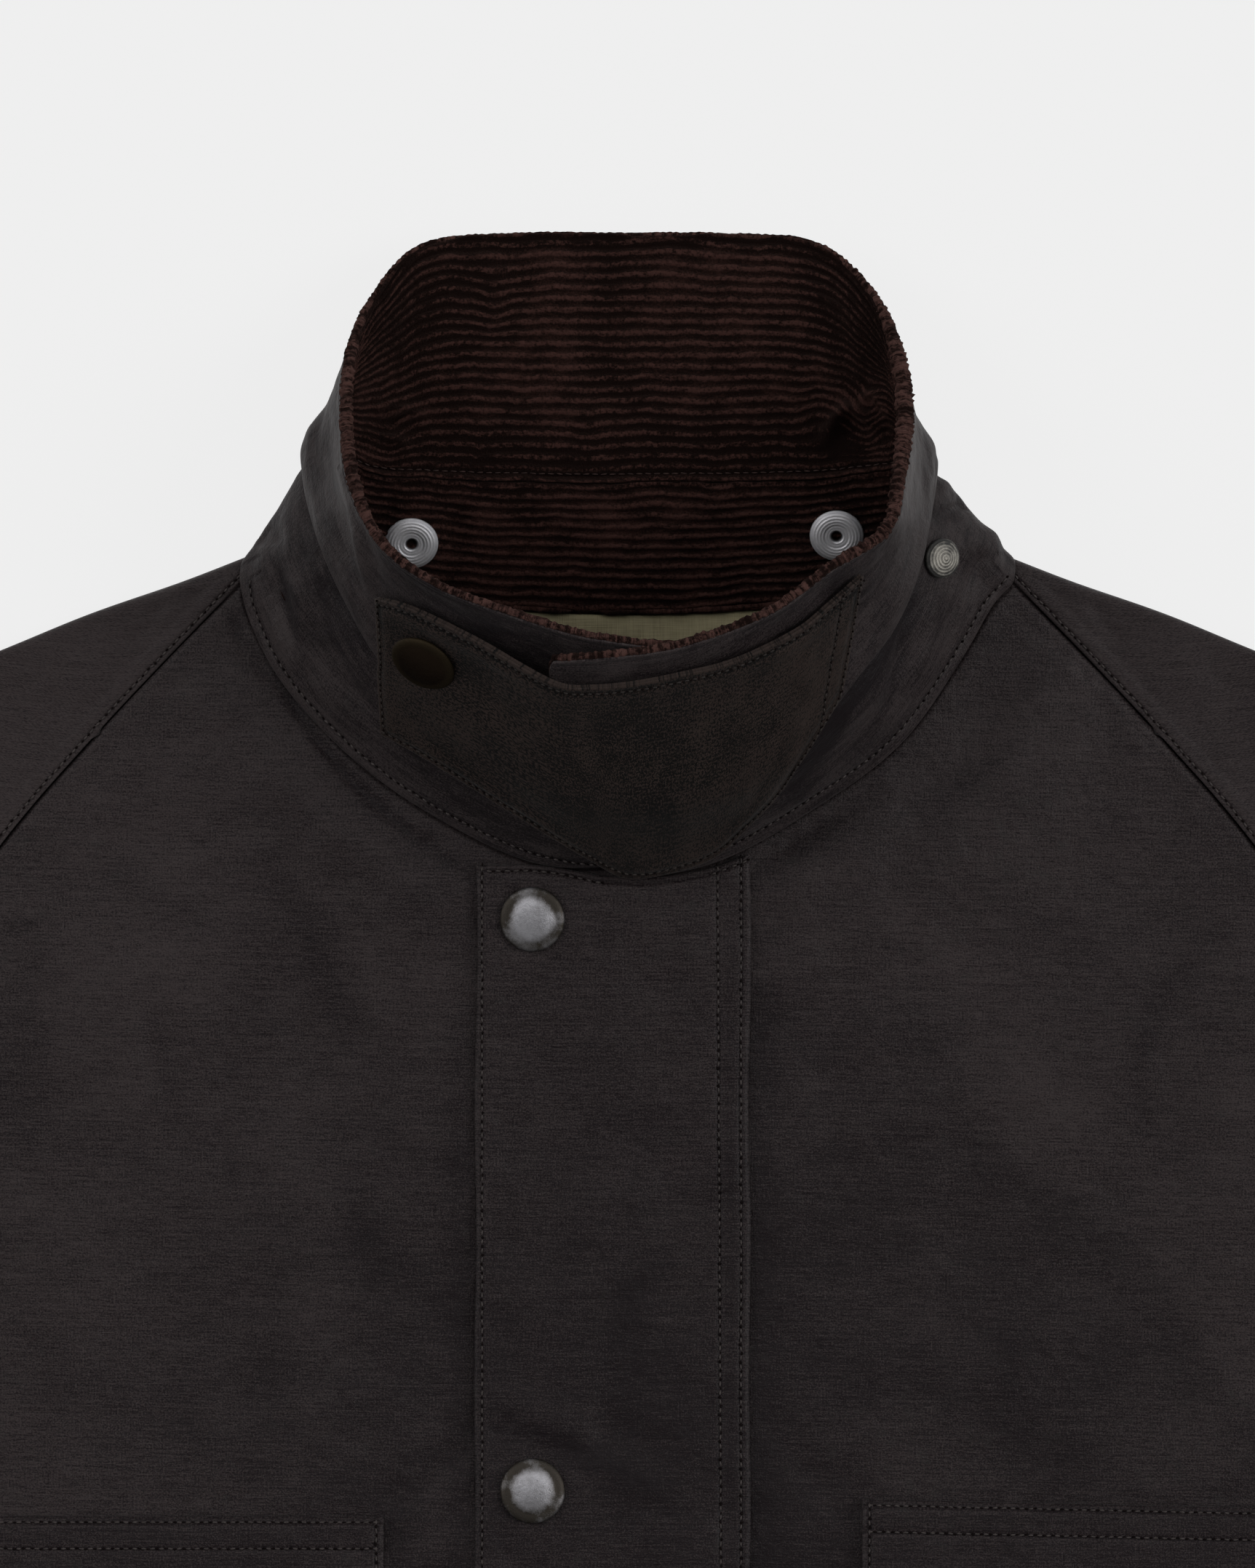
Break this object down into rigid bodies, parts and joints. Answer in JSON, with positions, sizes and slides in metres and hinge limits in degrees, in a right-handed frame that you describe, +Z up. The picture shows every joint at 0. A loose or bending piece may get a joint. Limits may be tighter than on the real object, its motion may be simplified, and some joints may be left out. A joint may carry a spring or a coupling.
{
  "type": "waxed cotton jacket",
  "caption": "Waxed cotton raglan jacket laid flat on its back, corduroy-lined collar standing open, throat tab and storm fly snapped shut.",
  "frame": {"origin": "middle of the laid jacket's outline, on the surface that it lies on", "axes": "+X across the jacket, towards the side where the storm fly is sewn on; +Y up the jacket, from hem to collar; +Z up from the surface, out of the jacket's front"},
  "size_m": [1.29, 0.718, 0.0747],
  "materials": {
    "waxed_cotton": "waxed, nearly black brown with a soft dull sheen and faint slubs",
    "tab_cotton": "waxed, darker brown, matt",
    "corduroy": "wide-wale cotton corduroy, very dark red brown, napped",
    "lining_cotton": "plain olive tan cotton, matt",
    "pewter": "worn silver-grey domes with darkened rims, plain",
    "antique_bronze": "antiqued nearly black bronze, matt",
    "brushed_metal": "brushed, slightly worn"
  },
  "bodies": {
    "root": {"back": "waxed_cotton", "front_left": "waxed_cotton", "front_right": "waxed_cotton", "sleeve_left": "waxed_cotton", "sleeve_right": "waxed_cotton", "collar_stand": "waxed_cotton", "collar_leaf": "waxed_cotton", "corduroy_stand": "corduroy", "corduroy_leaf": "corduroy", "throat_tab": "tab_cotton", "storm_fly": "waxed_cotton", "neck_lining": "lining_cotton", "pocket_left": "waxed_cotton", "pocket_right": "waxed_cotton", "flap_left": "waxed_cotton", "flap_right": "waxed_cotton", "fly_snap_1": "pewter", "fly_snap_2": "pewter", "fly_snap_3": "pewter", "fly_snap_4": "pewter", "tab_snap": "antique_bronze", "hood_eyelet_left": "brushed_metal", "hood_eyelet_right": "brushed_metal", "hood_stud_left": "brushed_metal", "hood_stud_right": "brushed_metal", "hood_stud_side": "brushed_metal"}
  },
  "joints": []
}
